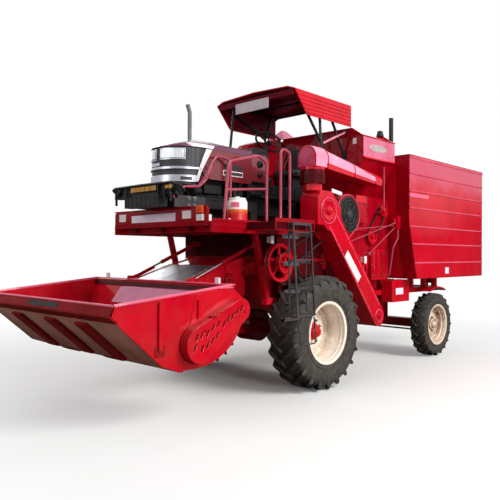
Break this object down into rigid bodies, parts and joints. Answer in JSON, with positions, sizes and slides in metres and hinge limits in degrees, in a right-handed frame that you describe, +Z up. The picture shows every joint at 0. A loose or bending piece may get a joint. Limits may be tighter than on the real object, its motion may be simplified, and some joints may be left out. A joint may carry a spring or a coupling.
{
  "type": "tractor-mounted combine harvester",
  "caption": "Grain harvester built round a tractor: header trough and feeder in front, threshing body, straw hood, grain tank, side elevator, swinging spout and canopy.",
  "frame": {"origin": "on the ground below the middle of the overall box, ladder included", "axes": "+X forward, +Y to the machine's left, +Z up"},
  "size_m": [7.74, 2.7537, 3.86],
  "materials": {
    "red_paint": "gloss, dusty",
    "maroon_paint": "metallic gloss",
    "cream_paint": "satin, dusty",
    "black_paint": "satin",
    "grey_paint": "satin",
    "tyre_rubber": "dusty",
    "cast_iron": "rough",
    "bare_steel": "worn",
    "chrome": "polished",
    "seat_vinyl": "matte",
    "jug_plastic": "satin"
  },
  "bodies": {
    "chassis": {"main_frame": "red_paint", "front_axle": "red_paint", "rear_axle": "red_paint", "thresher_housing": "red_paint", "straw_hood": "red_paint", "straw_walkers": "bare_steel", "grain_tank": "red_paint", "grain_elevator": "red_paint", "drive_pulleys": "cast_iron", "fan_screen": "black_paint", "tool_box": "red_paint", "mudguards": "red_paint", "operator_deck": "red_paint", "front_bumper": "red_paint", "feeder_mount": "red_paint", "deck_railing": "red_paint", "boarding_ladder": "grey_paint", "canopy_roof": "red_paint", "canopy_frame": "black_paint", "engine_block": "cast_iron", "tractor_frame": "cast_iron", "tractor_gearbox": "cast_iron", "front_weights": "black_paint", "driver_seat": "seat_vinyl", "steering_wheel": "black_paint", "tractor_exhaust": "black_paint", "roof_vents": "black_paint", "water_jug": "jug_plastic"},
    "front_left_wheel": {"front_left_tyre": "tyre_rubber", "front_left_rim": "cream_paint"},
    "front_right_wheel": {"front_right_tyre": "tyre_rubber", "front_right_rim": "cream_paint"},
    "rear_left_wheel": {"rear_left_tyre": "tyre_rubber", "rear_left_rim": "cream_paint"},
    "rear_right_wheel": {"rear_right_tyre": "tyre_rubber", "rear_right_rim": "cream_paint"},
    "left_knuckle": {"steering_knuckle_left": "cast_iron"},
    "right_knuckle": {"steering_knuckle_right": "cast_iron"},
    "track_rod": {"tie_rod": "cast_iron"},
    "header": {"header_trough": "red_paint", "chain_guard": "red_paint", "feeder_house": "red_paint"},
    "cross_auger": {"header_auger": "red_paint"},
    "lift_sleeves": {"lift_barrels": "red_paint"},
    "lift_plungers": {"lift_rods": "chrome"},
    "balance_sleeves": {"stay_sleeves": "red_paint"},
    "balance_rods": {"stay_rods": "bare_steel"},
    "spout": {"unloading_spout": "red_paint"},
    "hood": {"tractor_hood": "maroon_paint"}
  },
  "joints": [
    {"name": "front_left_roll", "type": "hinge", "parent": "chassis", "child": "front_left_wheel", "pos_m": [0.85, 0.975, 0.688], "axis": [0, 1, 0], "continuous": true},
    {"name": "front_right_roll", "type": "hinge", "parent": "chassis", "child": "front_right_wheel", "pos_m": [0.85, -1.165, 0.688], "axis": [0, 1, 0], "continuous": true},
    {"name": "left_steer", "type": "hinge", "parent": "chassis", "child": "left_knuckle", "pos_m": [-2.394, 0.605, 0.508], "axis": [0, 0, 1], "range_deg": [-30, 30]},
    {"name": "right_steer", "type": "hinge", "parent": "chassis", "child": "right_knuckle", "pos_m": [-2.394, -0.795, 0.508], "axis": [0, 0, 1], "range_deg": [-30, 30]},
    {"name": "track_rod_pivot", "type": "hinge", "parent": "left_knuckle", "child": "track_rod", "pos_m": [-2.614, 0.605, 0.38], "axis": [0, 0, 1], "range_deg": [-30, 30]},
    {"name": "rear_left_roll", "type": "hinge", "parent": "left_knuckle", "child": "rear_left_wheel", "pos_m": [-2.394, 0.865, 0.508], "axis": [0, 1, 0], "continuous": true},
    {"name": "rear_right_roll", "type": "hinge", "parent": "right_knuckle", "child": "rear_right_wheel", "pos_m": [-2.394, -1.055, 0.508], "axis": [0, 1, 0], "continuous": true},
    {"name": "header_lift", "type": "hinge", "parent": "chassis", "child": "header", "pos_m": [1.47, -0.095, 1.45], "axis": [0, 1, 0], "range_deg": [-3, 18]},
    {"name": "auger_turn", "type": "hinge", "parent": "header", "child": "cross_auger", "pos_m": [2.97, -0.095, 0.8], "axis": [0, 1, 0], "continuous": true},
    {"name": "lift_pivot", "type": "hinge", "parent": "chassis", "child": "lift_sleeves", "pos_m": [1.05, -0.095, 0.66], "axis": [0, 1, 0], "range_deg": [-2.1, 12]},
    {"name": "lift_stroke", "type": "slide", "parent": "lift_sleeves", "child": "lift_plungers", "axis": [0.998, 0, 0.0639], "range_m": [-0.26, 0.045]},
    {"name": "balance_pivot", "type": "hinge", "parent": "chassis", "child": "balance_sleeves", "pos_m": [1.38, -0.095, 1.76], "axis": [0, 1, 0], "range_deg": [-2.6, 15]},
    {"name": "balance_stroke", "type": "slide", "parent": "balance_sleeves", "child": "balance_rods", "axis": [0.9237, 0, -0.383], "range_m": [-0.014, 0.075]},
    {"name": "spout_swing", "type": "hinge", "parent": "chassis", "child": "spout", "pos_m": [0.81, 0.885, 2.67], "axis": [0, 0, -1], "range_deg": [0, 95]},
    {"name": "hood_tilt", "type": "hinge", "parent": "chassis", "child": "hood", "pos_m": [1.21, -0.095, 2.9], "axis": [0, -1, 0], "range_deg": [0, 50]}
  ],
  "couplings": [
    {"joint": "right_steer", "follows": "left_steer", "ratio": 1},
    {"joint": "track_rod_pivot", "follows": "left_steer", "ratio": -1},
    {"joint": "lift_pivot", "follows": "header_lift", "ratio": 0.65},
    {"joint": "lift_stroke", "follows": "header_lift", "m_per_rad": -0.797},
    {"joint": "balance_pivot", "follows": "header_lift", "ratio": 0.801},
    {"joint": "balance_stroke", "follows": "header_lift", "m_per_rad": 0.2275}
  ]
}
